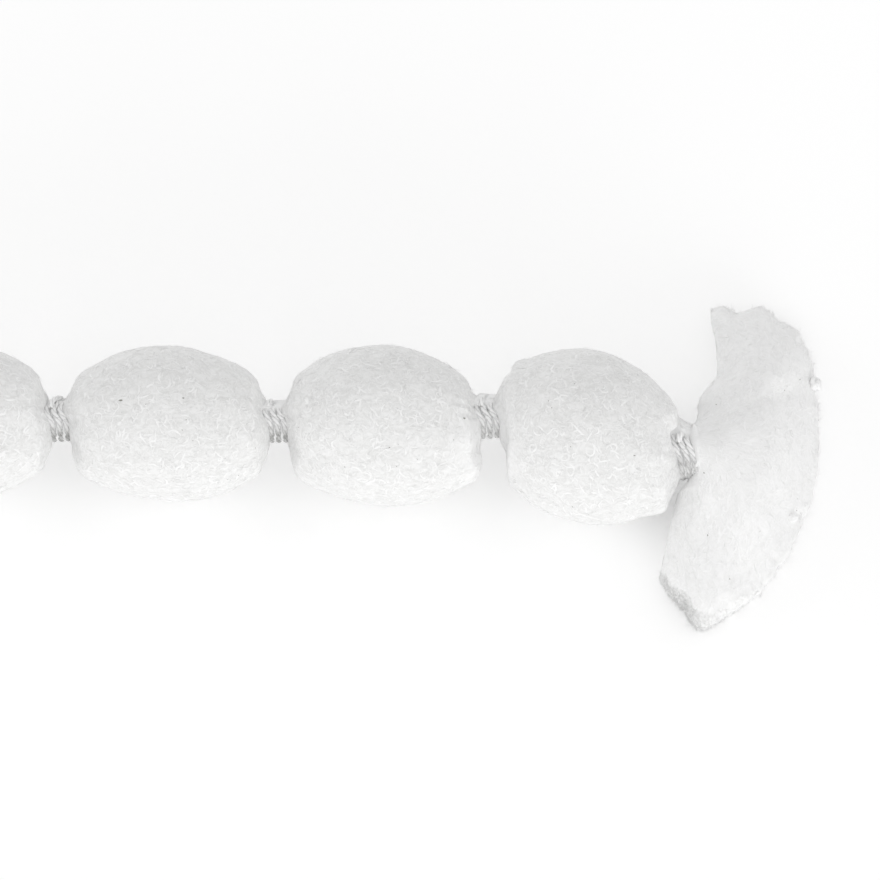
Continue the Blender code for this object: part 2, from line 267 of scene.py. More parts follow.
# Ties
THREAD_RADIUS = 0.45
THREAD_GAP = 0.3
THREAD_GRIP_RADIUS = CAD_NECK_RADIUS + THREAD_GAP + THREAD_RADIUS
WRAP_PITCH = 1.18
WRAP_TURNS = 2.7
WRAP_START = 200.0  # degrees: 0 is the -Y side, 90 the top
LAST_WRAP_END = -52.0  # WRAP_TURNS on from there
CLIMB_END = 2.95
CROSSING_END = 3.27
CROSSING_HIDDEN = 0.7  # fibre that swells out more than this over a tie's far side covers its crossing
CROSSING_EMERGES = (3.16, 3.22)  # turns, where it comes out of such fibre
CROSSING_RADIUS_GAIN = 0.80
CROSSING_LAST_ALONG = -1.25
TUCK_TURNS = 0.05  # the thread's ends dive in over this
TUCK_DEPTH = 0.7
STRAY_OUTWARD = (0.06, 70.0)  # how far the thread strays, and over about how many degrees
STRAY_ALONG = (0.12, 50.0)
TIE_SHAPES = (
    # degrees it is turned round the rope, share of KINK, how far its far side leans along the rope,
    # and how far the wraps stand out on its near side
    (4.0, 1.0, 0.0, -0.35),
    (0.0, 1.0, 0.0, -0.35),
    (7.0, 0.9, 0.0, -0.35),
    (-5.0, 1.1, 0.0, -0.35),
    (-16.0, 0.4, -0.9, 1.0),
)
LEAN_TOP = 152.0  # degrees: the wraps' far side, as the camera sees it
KINK = (
    # degrees round the rope, how far the wraps bend along it there
    (-60.0, -0.25), (0.0, -0.15), (45.0, -0.05), (64.0, -0.12), (78.0, -0.42), (92.0, -0.75),
    (106.0, -0.72), (124.0, -0.20), (152.0, 0.30), (190.0, 0.28), (240.0, 0.05), (300.0, -0.25),
)
WRAPS_SLANT = (
    # degrees past the last wrap's end, how far along the rope the middle of the wraps lies there
    (0.0, 0.37), (252.0, -0.37), (360.0, 0.37),
)
# Painted shade on the wraps' undersides:
UNDERSIDE_ANGLES = (-160.0, -60.0, 8.0, 75.0)  # degrees round the rope at which the wraps are greyer
UNDERSIDE_SHADES = (1.0, 1.0, 1.0, 0.62, 0.62)  # how much greyer, for each tie
PLIES = 3
PLY_RADIUS = 0.30
PLY_OFFSET = 0.22
PLY_PITCH = 4.2
PLY_SIDES = 8
PLY_STEP = 0.16
PLY_END_TAPER = 0.5
PLY_MAP_RADIUS = 0.25
PLY_MAPS_APART = 3.0
# Painted shade in the thread's hollows, between its plies and down against the neck:
SHADED_CORE = (0.45, 1.0)  # shares of the thread's radius between which its hollows come out of the dark
SHADED_NECK = (0.0, 0.7)  # and the same for its height off the CAD's neck

# Camera, as far off as the photograph's
CAMERA_ELEVATION = math.radians(62.0)
CAMERA_LENS = 250.0
CAMERA_AIM = (22.06, 0.31, 12.0)
FRAME_WIDTH = 880 / 6.0  # the photograph shows 6 pixels to 1 mm
SENSOR_WIDTH = 36.0

# Light: in metres and watts
LIGHTS = (
    # name, place, size, power
    ("key", (0.64, -1.76, 0.33), (1.4, 0.9), 11.3),
    ("fill", (-1.78, -0.05, 0.65), (1.4, 0.9), 3.3),
)
LIGHTS_AIM = (0.02, 0.0, 0.01)
WORLD_LIGHT = 0.815
BACKDROP_BRIGHTNESS = 1.0
FLOOR_GLOW = 0.19
FLOOR_HALF_SIZE = 4.0
FLOOR_DROP = 0.0001  # it lies this far below the part, so that the two never flicker


def smoothstep(low, high, value):
    t = np.clip((value - low) / (high - low), 0.0, 1.0)
    return t * t * (3.0 - 2.0 * t)


def fade(low, high, value):
    """1 below low, 0 above high, and smooth between them."""
    return 1.0 - smoothstep(low, high, value)


def noise_at(points, size, shift=0.0):
    """Smooth noise from -1 to 1, whose lumps are about this size, at an array of points."""
    scaled = (points / size + shift).reshape(-1, 3).tolist()
    return np.fromiter(map(noise.noise, scaled), float, len(scaled)).reshape(points.shape[:-1])


def curve_through(at, values, where):
    """Reads the smooth curve that has these values at these places at other places."""
    at, values, where = (np.asarray(a, float) for a in (at, values, where))
    slope = np.gradient(values, at, axis=0)
    i = np.clip(np.searchsorted(at, where, side="right") - 1, 0, len(at) - 2)
    width = at[i + 1] - at[i]
    t = np.clip((where - at[i]) / width, 0.0, 1.0)
    if values.ndim > 1:
        width, t = width[..., None], t[..., None]
    return (
        (1 + 2 * t) * (1 - t) ** 2 * values[i]
        + t * (1 - t) ** 2 * width * slope[i]
        + t * t * (3 - 2 * t) * values[i + 1]
        + t * t * (t - 1) * width * slope[i + 1]
    )


def smooth_path(points, spacing):
    """Points about this far apart along the smooth curve through the given ones."""
    points = np.asarray(points, float)
    lengths = np.linalg.norm(np.diff(points, axis=0), axis=1)
    at = np.concatenate(([0.0], np.cumsum(lengths)))
    return curve_through(at, points, np.linspace(0.0, at[-1], round(at[-1] / spacing) + 1))


def unit(vectors):
    return vectors / np.maximum(np.linalg.norm(vectors, axis=-1, keepdims=True), 1e-9)


def turned(first, second, angle):
    """The directions at these angles from a first axis towards a second."""
    return first * np.cos(angle)[..., None] + second * np.sin(angle)[..., None]


def lay_on_floor(points):
    points[..., 2] = np.maximum(points[..., 2], 0.0)
    return points


def add_object(name, data):
    thing = bpy.data.objects.new(name, data)
    bpy.context.scene.collection.objects.link(thing)
    return thing


# Skins


class Skin:
    """A grid of points over a surface: the fibre runs from row to row, and the columns lie side by side.

    place is where each point is on the fibre's own map. From 0 to 1, deep says how far it lies inside
    a gather, cut how near it is to the cut edge, bare how plainly that edge shows its cut ends, foot
    how near it is to where that edge meets the floor, where a painted shadow lies, and tone how white
    its fibre is painted, which in the gathers is painted light.
    """

    def __init__(self, points, place, wraps, deep=0.0, cut=0.0, bare=0.0, foot=0.0):
        self.points, self.place, self.wraps = points, place, wraps
        grid = points.shape[:2]
        self.deep, self.cut, self.foot = (np.broadcast_to(a, grid) for a in (deep, cut, foot))
        self.bare = self.cut * bare
        # Painted light: the more gathered the fibre, the paler it is painted, against the shade it lies
        # in.
        self.tone = SKIN_TONE + (1.0 - SKIN_TONE) * self.deep
        self.measure()

    def measure(self):
        down = np.gradient(self.points, axis=0)
        if self.wraps:
            round_it = np.concatenate((self.points[:, -2:-1], self.points, self.points[:, 1:2]), axis=1)
            across = np.gradient(round_it, axis=1)[:, 1:-1]
        else:
            across = np.gradient(self.points, axis=1)
        square = np.cross(across, down)
        self.area = np.linalg.norm(square, axis=-1)
        self.normals = unit(square)
        self.row_length = np.linalg.norm(down, axis=-1)
        self.column_length = np.linalg.norm(across, axis=-1)

    def displace(self, height):
        self.points = lay_on_floor(self.points + self.normals * height[..., None])
        self.measure()

    def read(self, values, row, column):
        """The values of a grid at places between its points."""
        r = np.clip(row.astype(int), 0, values.shape[0] - 2)
        c = np.clip(column.astype(int), 0, values.shape[1] - 2)
        a, b = row - r, column - c
        if values.ndim > 2:
            a, b = a[..., None], b[..., None]
        near = values[r, c] * (1 - b) + values[r, c + 1] * b
        far = values[r + 1, c] * (1 - b) + values[r + 1, c + 1] * b
        return near * (1 - a) + far * a

    def lie(self, rows, columns):
        """The points and the normals of the surface along paths."""
        return self.read(self.points, rows, columns), self.read(self.normals, rows, columns)


def tie_points():
    """The middle of each tie: its height is halfway between those of the pompoms beside it."""
    heights = [radius - FLOOR_PRESS for radius, _, _ in POMPOMS]
    on_left, on_right = heights[:1] + heights, heights + heights[-1:]
    rows = zip(TIES, on_left, on_right)
    return np.array([(x, y, (left + right) / 2) for (x, y, _), left, right in rows])


TIE_POINTS = tie_points()
LAST_TIE = len(TIES) - 1


def level_direction(angle):
    return np.array((math.cos(angle), math.sin(angle), 0.0))


def rope_frame(index, along):
    """The centre and direction of the rope at a distance past tie number index."""
    heading = level_direction(math.radians(TIES[index][2]))
    neighbour = index + (1 if along > 0 else -1)
    onward = heading
    if 0 <= neighbour < len(TIES):
        onward = unit(TIE_POINTS[neighbour] - TIE_POINTS[index]) * (neighbour - index)
    bent = smoothstep(*NECK_REACH, abs(along))
    blend = heading + (onward - heading) * bent
    return TIE_POINTS[index] + blend * along, unit(blend)


def ring_axes(direction):
    sideways = unit(np.cross(UP, direction))
    return sideways, np.cross(direction, sideways)


def ring_degrees(count):
    """The angle round the rope of each point of a ring, whose first point is repeated at its end."""
    return 180.0 - np.linspace(0.0, 360.0, count)


def wraps_bend(index, degrees):
    """How far along the rope a tie's wraps are bent and leant, at an angle round it."""
    _, kinked, lean, _ = TIE_SHAPES[index]
    start = KINK[0][0]
    kink = curve_through(*np.array(KINK).T, np.mod(degrees - start, 360.0) + start)
    return kink * kinked + lean * np.cos(np.radians(degrees - LEAN_TOP))


def wraps_middle(index, degrees):
    """How far along the rope the middle of a tie's wraps lies, at an angle round it."""
    past_end = degrees - TIE_SHAPES[index][0] - LAST_WRAP_END
    return wraps_bend(index, degrees) + np.interp(np.mod(past_end, 360.0), *np.array(WRAPS_SLANT).T)


def window(rise_start, rise_end, fall_start, fall_end, value):
    """1 between rise_end and fall_start, and 0 outside the other two."""
    return smoothstep(rise_start, rise_end, value) * fade(fall_start, fall_end, value)


def turned_into(window_degrees, degrees):
    """How far, from 0 to 1, each angle round the rope lies within a window of angles."""
    start = window_degrees[0]
    return window(*window_degrees, np.mod(degrees - start, 360.0) + start)


def neck_swell(index, degrees, along):
    """How far the fibre swells out past NECK_RADIUS round a tie, at an angle round it."""
    over, less, far_side = SWELL_OVER[index]
    over = max(over - less * max(along, -SWELL_REACH), 0.0) * turned_into(far_side, degrees)
    return over + (SWELL_BETWEEN + TIE_SHAPES[index][3]) * turned_into(NEAR_SIDE, degrees)


def round_ring(centre, direction, radius, end_distance, number):
    """A ring of the rope's skin, whose first point is repeated at its end."""
    sideways, upward = ring_axes(direction)
    turn = np.linspace(0.0, 2 * math.pi, ROPE_SIDES + 1)
    turn[-1] = 0.0
    out = turned(sideways, upward, turn)
    free = smoothstep(*FREE_RADII, radius)
    gathered = math.exp(-end_distance / PLEAT_REACH) * free
    swell = 1.0 + LUMP * free * noise_at(centre + out * radius, LUMP_SIZE, LUMP_SHIFT * number)
    pleat = PLEAT_DEPTH * np.cos(PLEATS * turn + PLEAT_SHIFT * number) * gathered
    return centre + out * (radius * swell + pleat)[:, None]


def fitted_ring(index, along, centre, direction, radius, end_distance, number):
    """A ring that lies along past tie number index, and follows the slant and bends of its wraps."""
    ring = round_ring(centre, direction, radius, end_distance, number)
    degrees = ring_degrees(len(ring))
    moved = wraps_middle(index, degrees) * fade(*HUG_REACH, abs(along))
    for tie, side, fuller, angles, radii in FULLER_ENDS:
        if tie == index and side * along > 0.0:
            moved = moved - side * fuller * turned_into(angles, degrees) * window(*radii, radius)
    lack = NECK_RADIUS + neck_swell(index, degrees, along) - radius
    swell = (lack + np.sqrt(lack**2 + SWELL_BLEND**2)) / 2
    return ring + direction * moved[:, None] + unit(ring - centre) * swell[:, None]


def pompom_profile(length, radius):
    half = length / 2 - SHOULDER_REACH
    share = -np.cos(math.pi * (np.arange(1, POMPOM_RINGS - 1) + 0.5) / POMPOM_RINGS)
    size = radius * np.sqrt(1.0 - (share / ELLIPSE_REACH) ** 2)
    body = list(zip(length / 2 + half * share, size))
    falling = [(length - along, size) for along, size in reversed(SHOULDER)]
    return [(0.0, NECK_RADIUS), *SHOULDER, *body, *falling, (length, NECK_RADIUS)]


def pompom_rings(index):
    """The rings from one tie to the next, each with its radius."""
    radius, first_aside, second_aside = POMPOMS[index]
    length = np.linalg.norm(TIE_POINTS[index + 1] - TIE_POINTS[index])
    for along, size in smooth_path(pompom_profile(length, radius), RING_SPACING):
        tie, past = (index, along) if along < length / 2 else (index + 1, along - length)
        centre, direction = rope_frame(tie, past)
        sideways, _ = ring_axes(direction)
        share = along / length
        aside = first_aside * (1.0 - share) ** 2 + second_aside * share**2
        centre = centre + sideways * aside * smoothstep(*SIDESTEP_RADII, size)
        centre[2] += (radius - FLOOR_PRESS - centre[2]) * math.sin(math.pi * share) ** 2
        end_distance = max(abs(past) - SHOULDER_REACH, 0.0)
        yield fitted_ring(tie, past, centre, direction, size, end_distance, index + 1), size


def painted_light_beside_ties(points):
    """How much painted light makes the fibre paler beside the ties, at each point of the rope's rings."""
    tone = 0.0
    for index, side, painted_light, reach in PAINTED_LIGHT_ENDS:
        past = (points[..., 0] - TIE_POINTS[index][0]) * side
        tone = tone + painted_light * window(0.0, 1.0, 0.4 * reach, 1.7 * reach, past)
    return tone * turned_into(PAINTED_LIGHT_SIDE, ring_degrees(points.shape[1]))


def rope_skin():
    """The stub and the four pompoms, from the first tie's far side to the last tie."""
    rings = []
    for along, size in smooth_path(STUB, RING_SPACING):
        ring = fitted_ring(0, -along, *rope_frame(0, -along), size, along, 0)
        rings.append((ring, size if along < STUB[-1][0] + 2.0 else GATHER_RADII[1]))
    for index in range(len(POMPOMS)):
        rings += pompom_rings(index)
    ring = fitted_ring(LAST_TIE, FAN_START, *rope_frame(LAST_TIE, FAN_START), NECK_RADIUS, 0.0, 0)
    rings.append((ring, NECK_RADIUS))
    points, sizes = (np.array(values) for values in zip(*rings))
    lay_on_floor(points)
    reach = np.linalg.norm(points - points.mean(axis=1, keepdims=True), axis=-1)
    radius = np.maximum(sizes[:, None], reach - SWELL_STAYS_DEEP)
    deep = fade(*GATHER_RADII, radius)
    skin = Skin(points, points.copy(), wraps=True, deep=deep)
    # Painted light beside the ties, on top of that in the gathers.
    skin.tone = np.clip(skin.tone + painted_light_beside_ties(points), 0.0, 1.0)
    return skin


def fan_points(share, column, under):
    """Points of the fan's skin. share runs from the neck to the rim, and column over FAN_RIM's rows."""
    rim = np.array(FAN_RIM)[::-1]
    rows = len(rim) - 1
    turn = math.pi * column / rows
    rim_angle = curve_through(np.arange(rows + 1), rim[:, 0], column)
    rim_radius = curve_through(np.arange(rows + 1), rim[:, 1], column)
    for middle, width, height in RIM_NICKS:
        nick = np.exp(-(((rim_angle - middle) / width) ** 2)) * smoothstep(*NICKS_GROW, share)
        rim_radius = rim_radius + height * nick
    even_angle = 90.0 * (1.0 - 2.0 * column / rows)
    angle = np.radians(even_angle + (rim_angle - even_angle) * smoothstep(*TURNS_TO_RIM, share))
    distance = share * rim_radius
    degrees = 180.0 + np.degrees(turn) * (1.0 if under else -1.0)
    follow = wraps_middle(LAST_TIE, degrees) * fade(*FOLLOWS_WRAPS, share)
    swell = SWELL_BLEND / 2 + neck_swell(LAST_TIE, degrees, FAN_START)
    swell = swell * fade(*SWELLS_AT_TIE, share)
    pull = FAN_START_PULL * fade(*PULLED_TO_TIE, share)
    along = distance * np.cos(angle) + follow - pull
    across = distance * np.sin(angle) + ((1.0 - share) * NECK_RADIUS + swell) * np.cos(turn)
    along = along + np.interp(across, *np.array(FAN_BACK).T) * np.cos(turn) ** 4

    heights = np.array(FAN_HEIGHTS)
    wing = (angle / math.radians(FAN_RIM[-1][0])) ** 2 * smoothstep(*WINGS_DROP, share)
    near, far = (curve_through(heights[:, 0], heights[:, k], share) for k in (1, 2))
    top = near + (far - near) * smoothstep(*FAN_SIDES_BLEND, np.degrees(angle))
    top = top * (1.0 - FAN_WING_DROP * wing)
    thin = window(*FAN_RIM_THIN_ANGLES, rim_angle) * smoothstep(*RIM_THINS, share) ** 1.5
    top = top * (1.0 - FAN_RIM_THINNING * thin)
    bottom = np.maximum(curve_through(heights[:, 0], heights[:, 3], share), 0.0)
    power = 1.0 + (FAN_EDGE_ROUNDING - 1.0) * smoothstep(*EDGE_FILLS_OUT, share)
    lift = np.abs(np.sin(turn)) ** power
    if under:
        fuller = 1.0 + FAN_UNDERSIDE_FLATTENING * smoothstep(*EDGE_FILLS_OUT, share)
        lift = -np.minimum(lift * fuller, 1.0)
    origin = rope_frame(LAST_TIE, FAN_START)[0]
    onward = level_direction(FAN_HEADING)
    sideways, _ = ring_axes(onward)
    points = origin + along[..., None] * onward + across[..., None] * sideways
    points[..., 2] = (top + bottom) / 2 + (top - bottom) / 2 * lift
    points[..., 2] += swell * np.sin(turn) * (-1.0 if under else 1.0)
    if not under:
        waves = noise_at(points, LUMP_SIZE) * FAN_LUMP * smoothstep(*LUMPS_GROW, share)
        points[..., 2] *= 1.0 + waves * smoothstep(0.0, 1.0, np.minimum(column, rows - column))
    map_across = np.radians(rim_angle) * FAN_MAP_RADIUS
    return lay_on_floor(points), np.stack((distance, map_across, points[..., 2]), axis=-1)


def over_fan(top, wall, under):
    """Values for each row of the fan's skin, from those of its top, its cut edge and its underside."""
    return np.concatenate((top, np.broadcast_to(wall, (FAN_WALL_ROWS - 1, 1)), under))


def fan_skin():
    """The fan: over its top from the neck to the rim, down the cut edge, and back underneath."""
    column = np.linspace(0.0, len(FAN_RIM) - 1.0, FAN_COLUMNS + 1)[None, :]
    top_share = np.linspace(0.0, 1.0, FAN_TOP_ROWS + 1)[:, None]
    under_share = np.linspace(1.0, 0.0, FAN_UNDER_ROWS + 1)[:, None]
    top, top_place = fan_points(*np.broadcast_arrays(top_share, column), under=False)
    under, under_place = fan_points(*np.broadcast_arrays(under_share, column), under=True)

    down = (np.arange(1, FAN_WALL_ROWS) / FAN_WALL_ROWS)[:, None, None]
    wall = top[-1] * (1 - down) + under[0] * down
    out = wall - TIE_POINTS[-1]
    out[..., 2] = 0.0
    wall = wall + unit(out) * FAN_RIM_BULGE * np.sin(math.pi * down)
    wall_place = top_place[-1] + FAN_MAP_WALL * down

    points = np.concatenate((top, wall, under))
    place = np.concatenate((top_place, wall_place, under_place))
    # The gathered fibre at the fan's neck gets painted light.
    deep = over_fan(fade(*COMES_FREE, top_share), 0.0, fade(*COMES_FREE, under_share))
    cut = over_fan(smoothstep(*CUT_ON_TOP, top_share), 1.0, smoothstep(*CUT_UNDERNEATH, under_share))
    # Painted shadow at the foot: the lower cut edge and the underside's rim, where they meet the floor.
    lower_wall = smoothstep(0.2, 0.8, down[:, :, 0])
    foot = over_fan(0 * top_share, lower_wall, smoothstep(*FOOT_UNDERNEATH, under_share))
    rim_angle = curve_through(np.arange(len(FAN_RIM)), np.array(FAN_RIM)[::-1, 0], column)
    bare = np.interp(rim_angle, *np.array(FAN_CUT_BARE).T)
    return Skin(points, place, wraps=False, deep=deep, cut=cut, bare=bare, foot=foot)


def crease_depth(skin):
    """How deep the creases that run out from a tie lie, at each point of the rope's skin."""
    lip_aside, lip_share = CREASE_LIP
    depth = np.zeros(skin.points.shape[:2])
    for index, side, degrees, turned, reach, deepest in CREASES:
        centre, direction = rope_frame(index, 0.0)
        sideways, upward = ring_axes(direction)
        away = skin.points - centre
        along = away @ direction * side
        height, across = away @ upward, -(away @ sideways)
        radius = np.hypot(height, across)
        angle = np.degrees(np.arctan2(height, across)) - degrees - turned * along / reach
        aside = radius * np.radians(np.mod(angle + 180.0, 360.0) - 180.0)
        run = window(*CREASE_STARTS, 0.4 * reach, reach, along)
        valley = np.exp(-((aside / CREASE_WIDTH) ** 2))
        lip = np.exp(-(((aside - lip_aside * CREASE_WIDTH) / CREASE_WIDTH) ** 2))
        depth += deepest * run * (valley - lip_share * lip)
    return depth


def roughen_rope(skin):
    """Soft dimples, shallower in the gathers, and the creases."""
    bumps = 0.0
    for height, size, drawn in ROPE_BUMPS:
        bumps = bumps + height * noise_at(skin.points * (drawn, 1.0, 1.0), size)
    skin.displace(bumps * (0.15 + 0.85 * (1.0 - skin.deep)) - crease_depth(skin))


def roughen_fan(skin):
    """Radiating bundles of fibre, and a ragged cut edge."""
    columns = skin.points.shape[1]
    edge = np.minimum(np.arange(columns), np.arange(columns)[::-1]) / FAN_EVEN_COLUMNS
    rooted = smoothstep(*FAN_ROOT, skin.place[..., 0]) * np.clip(edge, 0.0, 1.0)[None, :]
    bundles = noise_at(skin.place * (0.12, 1.0, 0.3), 1.1)
    clumps = noise_at(skin.points, 3.0)
    fine = noise_at(skin.points, 0.9)
    ragged = (0.08 * skin.cut + 0.20 * skin.bare) * noise_at(skin.points, 1.3)
    height = 0.02 * bundles + 0.08 * clumps + 0.03 * fine + ragged
    skin.displace(height * rooted)


# Fibres


def trace(skin, rng, count, spread, curl, length, steps, weight=1.0):
    """Curly paths in a skin. Returns their places on its grid, each an array of count x steps."""
    chance = (skin.area * weight).ravel()
    picked = rng.choice(chance.size, count, p=chance / chance.sum())
    row, column = (a.astype(float) for a in np.divmod(picked, skin.area.shape[1]))
    rows, columns = skin.area.shape[0] - 1, skin.area.shape[1] - 1
    angle = rng.normal(0.0, spread, count) + math.pi * rng.integers(0, 2, count)
    bend = rng.normal(0.0, curl, count)
    step = rng.uniform(*length, count) / (steps - 1)
    path_rows, path_columns = [], []
    for _ in range(steps):
        row = np.clip(row, 0.0, rows)
        column = np.mod(column, columns) if skin.wraps else np.clip(column, 0.0, columns)
        path_rows.append(row)
        path_columns.append(column)
        i, j = row.astype(int), column.astype(int)
        row = row + np.cos(angle) * step / np.maximum(skin.row_length[i, j], 0.05)
        column = column + np.sin(angle) * step / np.maximum(skin.column_length[i, j], 0.05)
        angle = angle + bend * step + rng.normal(0.0, curl * 0.6, count) * step
    return np.stack(path_rows, axis=1), np.stack(path_columns, axis=1)


def path_axes(path, normals):
    """The sideways and outward axes of each point of each path."""
    forward = unit(np.gradient(path, axis=1))
    sideways = unit(np.cross(normals, forward))
    return sideways, unit(np.cross(forward, sideways))


def ridges(skin, rows, columns, width, height):
    """Low clumps of fibre that stand out of a skin, as three points across each place on a path."""
    path, normals = skin.lie(rows, columns)
    sideways, out = path_axes(path, normals)
    taper = np.sin(np.linspace(0.0, math.pi, path.shape[1]))[None, :, None]
    left = path - sideways * width[:, None, None] / 2 * taper - out * SUNK
    right = path + sideways * width[:, None, None] / 2 * taper - out * SUNK
    middle = path + out * (height[:, None, None] * taper - SUNK * (1 - taper))
    return np.stack((left, middle, right), axis=2)


def hairs(path, normals, radius):
    """Thin tubes along paths, which come to a point at their far end."""
    sideways, out = path_axes(path, normals)
    turn = 2 * math.pi * np.arange(HAIR_SIDES) / HAIR_SIDES
    taper = np.sqrt(np.linspace(1.0, 0.0, path.shape[1]))[None, :, None, None]
    ring = turned(sideways[:, :, None], out[:, :, None], turn)
    return path[:, :, None] + ring * np.asarray(radius).reshape(-1, 1, 1, 1) * taper


# Pieces


def make_piece(name, sections, material, closed=False, **shades):
    """A mesh from an array of strips x steps x points across.

    Each strip gets its own cell of the map, and each of the shades becomes an attribute of the points.
    """
    count, steps, across, _ = sections.shape
    index = np.arange(count * steps * across).reshape(count, steps, across)
    if closed:
        index = np.concatenate((index, index[:, :, :1]), axis=2)
    cells = math.ceil(math.sqrt(count))
    cell = np.stack(np.divmod(np.arange(count), cells), axis=-1)[:, None, None, :]
    shares = (np.linspace(0.0, 1.0, size) for size in index.shape[1:])
    grid = np.stack(np.meshgrid(*shares, indexing="ij"), axis=-1)
    border = CELL_BORDER if count > 1 else 0.0
    places = (cell + border + grid * (1 - 2 * border)) / cells

    def triangles(values):
        near, far = values[:, :-1], values[:, 1:]
        quad = near[:, :, :-1], near[:, :, 1:], far[:, :, 1:], far[:, :, :-1]
        return np.stack([quad[corner] for corner in (0, 1, 2, 0, 2, 3)], axis=3)

    faces = triangles(index).reshape(-1, 3)
    face_places = triangles(places).reshape(-1, 3, 2)

    points = sections.reshape(-1, 3)
    rounded = np.round(points, WELD_DECIMALS)
    _, first, joined = np.unique(rounded, axis=0, return_index=True, return_inverse=True)
    faces = joined.reshape(-1)[faces]
    real = (faces[:, 0] != faces[:, 1]) & (faces[:, 1] != faces[:, 2]) & (faces[:, 2] != faces[:, 0])
    faces, face_places = faces[real], face_places[real]
    points = (points[first] + CAD_SHIFT) * MM

    mesh = bpy.data.meshes.new(name)
    mesh.vertices.add(len(points))
    mesh.vertices.foreach_set("co", points.astype(np.float32).ravel())
    mesh.loops.add(faces.size)
    mesh.loops.foreach_set("vertex_index", faces.astype(np.int32).ravel())
    mesh.polygons.add(len(faces))
    mesh.polygons.foreach_set("loop_start", np.arange(0, faces.size, 3, dtype=np.int32))
    mesh.update(calc_edges=True)
    mesh.shade_smooth()
    layer = mesh.uv_layers.new(name="OFBake")
    layer.uv.foreach_set("vector", face_places.astype(np.float32).ravel())
    for shade, values in shades.items():
        wide = values.ndim == 4
        shape = sections.shape if wide else sections.shape[:3]
        flat = np.broadcast_to(values, shape).reshape(-1, 3 if wide else 1)[first]
        kind, field = ("FLOAT_VECTOR", "vector") if wide else ("FLOAT", "value")
        attribute = mesh.attributes.new(shade, kind, "POINT")
        attribute.data.foreach_set(field, flat.astype(np.float32).ravel())
    mesh.materials.append(material)
    piece = add_object(name, mesh)
    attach(piece, "root")
    return piece


def skin_piece(name, skin, material):
    piece = make_piece(
        name, skin.points[None], material,
        place=skin.place[None], cut=skin.bare[None], foot=skin.foot[None], tone=skin.tone[None],
    )
    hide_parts("fibre_rope")


def fibre_piece(name, sections, skin, rows, columns, material, rng, closed=False):
    """Fibres, each of its own random whiteness, and as speckled as the skin that they lie on."""
    lay_on_floor(sections)
    tone = rng.uniform(*FIBRE_TONES, (len(sections), 1, 1))
    place = sections + rng.uniform(-FIBRE_MAP_SPREAD, FIBRE_MAP_SPREAD, (len(sections), 1, 1, 3))
    cut = skin.read(skin.bare, rows, columns)[:, :, None]
    piece = make_piece(name, sections, material, closed=closed, place=place, cut=cut, tone=tone)
    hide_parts("fibre_rope")


def add_clumps(name, skin, material, rng, count, spread, weight=1.0, length=(1.2, 3.6), tallest=0.08):
    """Fibres that lie in the skin, clumped into low wavy ridges."""
    rows, columns = trace(skin, rng, count, spread, curl=1.1, length=length, steps=9, weight=weight)
    width = rng.uniform(*CLUMP_WIDTHS, count)
    height = rng.uniform(0.3, 1.0, count) * tallest
    sections = ridges(skin, rows, columns, width, height)
    fibre_piece(name, sections, skin, rows, columns, material, rng)


def add_fuzz(name, skin, material, rng, count, spread, reach):
    """Fine loose fibres that arch off the skin, with one end free."""
    steps = 5
    rows, columns = trace(skin, rng, count, spread, curl=0.8, length=(0.8, 2.4), steps=steps)
    path, normals = skin.lie(rows, columns)
    risen = np.linspace(0.0, 1.0, steps)[None, :] ** 1.4
    rise = risen * (reach * rng.random(count) ** 2.5)[:, None] + 0.02
    path = path + normals * rise[..., None]
    sections = hairs(path, normals, rng.uniform(*FUZZ_RADII, count))
    fibre_piece(name, sections, skin, rows, columns, material, rng, closed=True)


def add_specks(name, skin, material, rng, count, marks=()):
    """Small dark bits in the skin: count of them anywhere, and one longer one at each of the marks."""
    steps = 4
    free = 1.0 - skin.deep
    rows, columns = trace(skin, rng, count, 1.5, curl=0.5, length=(0.15, 0.45), steps=steps, weight=free)
    width = rng.uniform(*SPECK_WIDTHS, count)
    for mark, size in marks:
        away = np.linalg.norm(skin.points - np.array(mark), axis=-1)
        row, column = np.unravel_index(away.argmin(), away.shape)
        run = np.linspace(0.0, size / skin.row_length[row, column], steps)
        rows = np.append(rows, row + run[None], axis=0)
        columns = np.append(columns, np.full((1, steps), float(column)), axis=0)
        width = np.append(width, size * 0.45)
    sections = ridges(skin, rows, columns, width, 0.2 * width + 0.03)
    fibre_piece(name, sections, skin, rows, columns, material, rng)


def add_tuft(number, centre, size, loose_hairs, material, hair_material, rng):
    """A small knot of fibre that stands out of the fan's rim, and its loose hairs."""
    tilt = np.linspace(0.0, math.pi, TUFT_ROWS + 1)[:, None]
    turn = np.linspace(2 * math.pi, 0.0, TUFT_COLUMNS + 1)[None, :]
    level = np.sin(tilt)
    out = np.stack((level * np.cos(turn), level * np.sin(turn), np.cos(tilt) + 0 * turn), axis=-1)
    swell = 1.0 + 0.35 * noise_at(out, 0.7, number) + 0.12 * noise_at(out, 0.25, number)
    points = centre + out * size * swell[..., None]
    points[:, -1] = points[:, 0]
    skin = Skin(lay_on_floor(points), points.copy(), wraps=True)
    skin_piece(f"rim_tuft_{number}", skin, material)
    if loose_hairs:
        add_fuzz(f"rim_tuft_fuzz_{number}", skin, hair_material, rng, loose_hairs, spread=1.5, reach=0.5)


